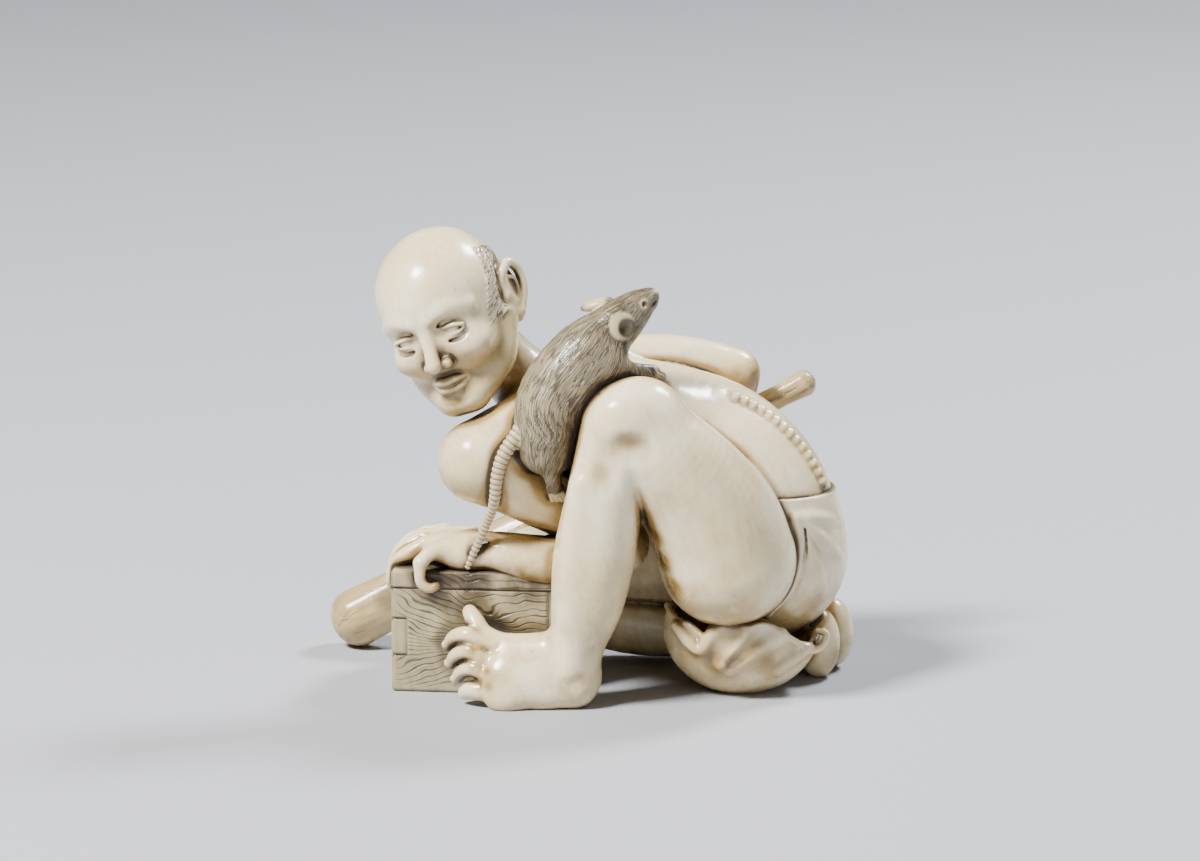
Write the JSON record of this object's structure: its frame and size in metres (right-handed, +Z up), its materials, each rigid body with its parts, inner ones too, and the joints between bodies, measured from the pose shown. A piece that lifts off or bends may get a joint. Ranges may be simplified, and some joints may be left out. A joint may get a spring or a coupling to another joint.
{
  "type": "netsuke",
  "caption": "Carved ivory netsuke of a crouching rat catcher leaning on a box trap, club held behind his back, while the rat climbs over his shoulder.",
  "frame": {"origin": "on the surface it stands on, under the middle of the carving's box", "axes": "+Z up; +X from the trap to the seat of the figure, along its length; +Y from the raised near leg to the club"},
  "size_m": [0.0445, 0.0268, 0.0386],
  "materials": {
    "ivory": "polished, with brown stain in the hollows"
  },
  "bodies": {
    "root": {"rat_catcher_carving": "ivory"}
  },
  "joints": []
}
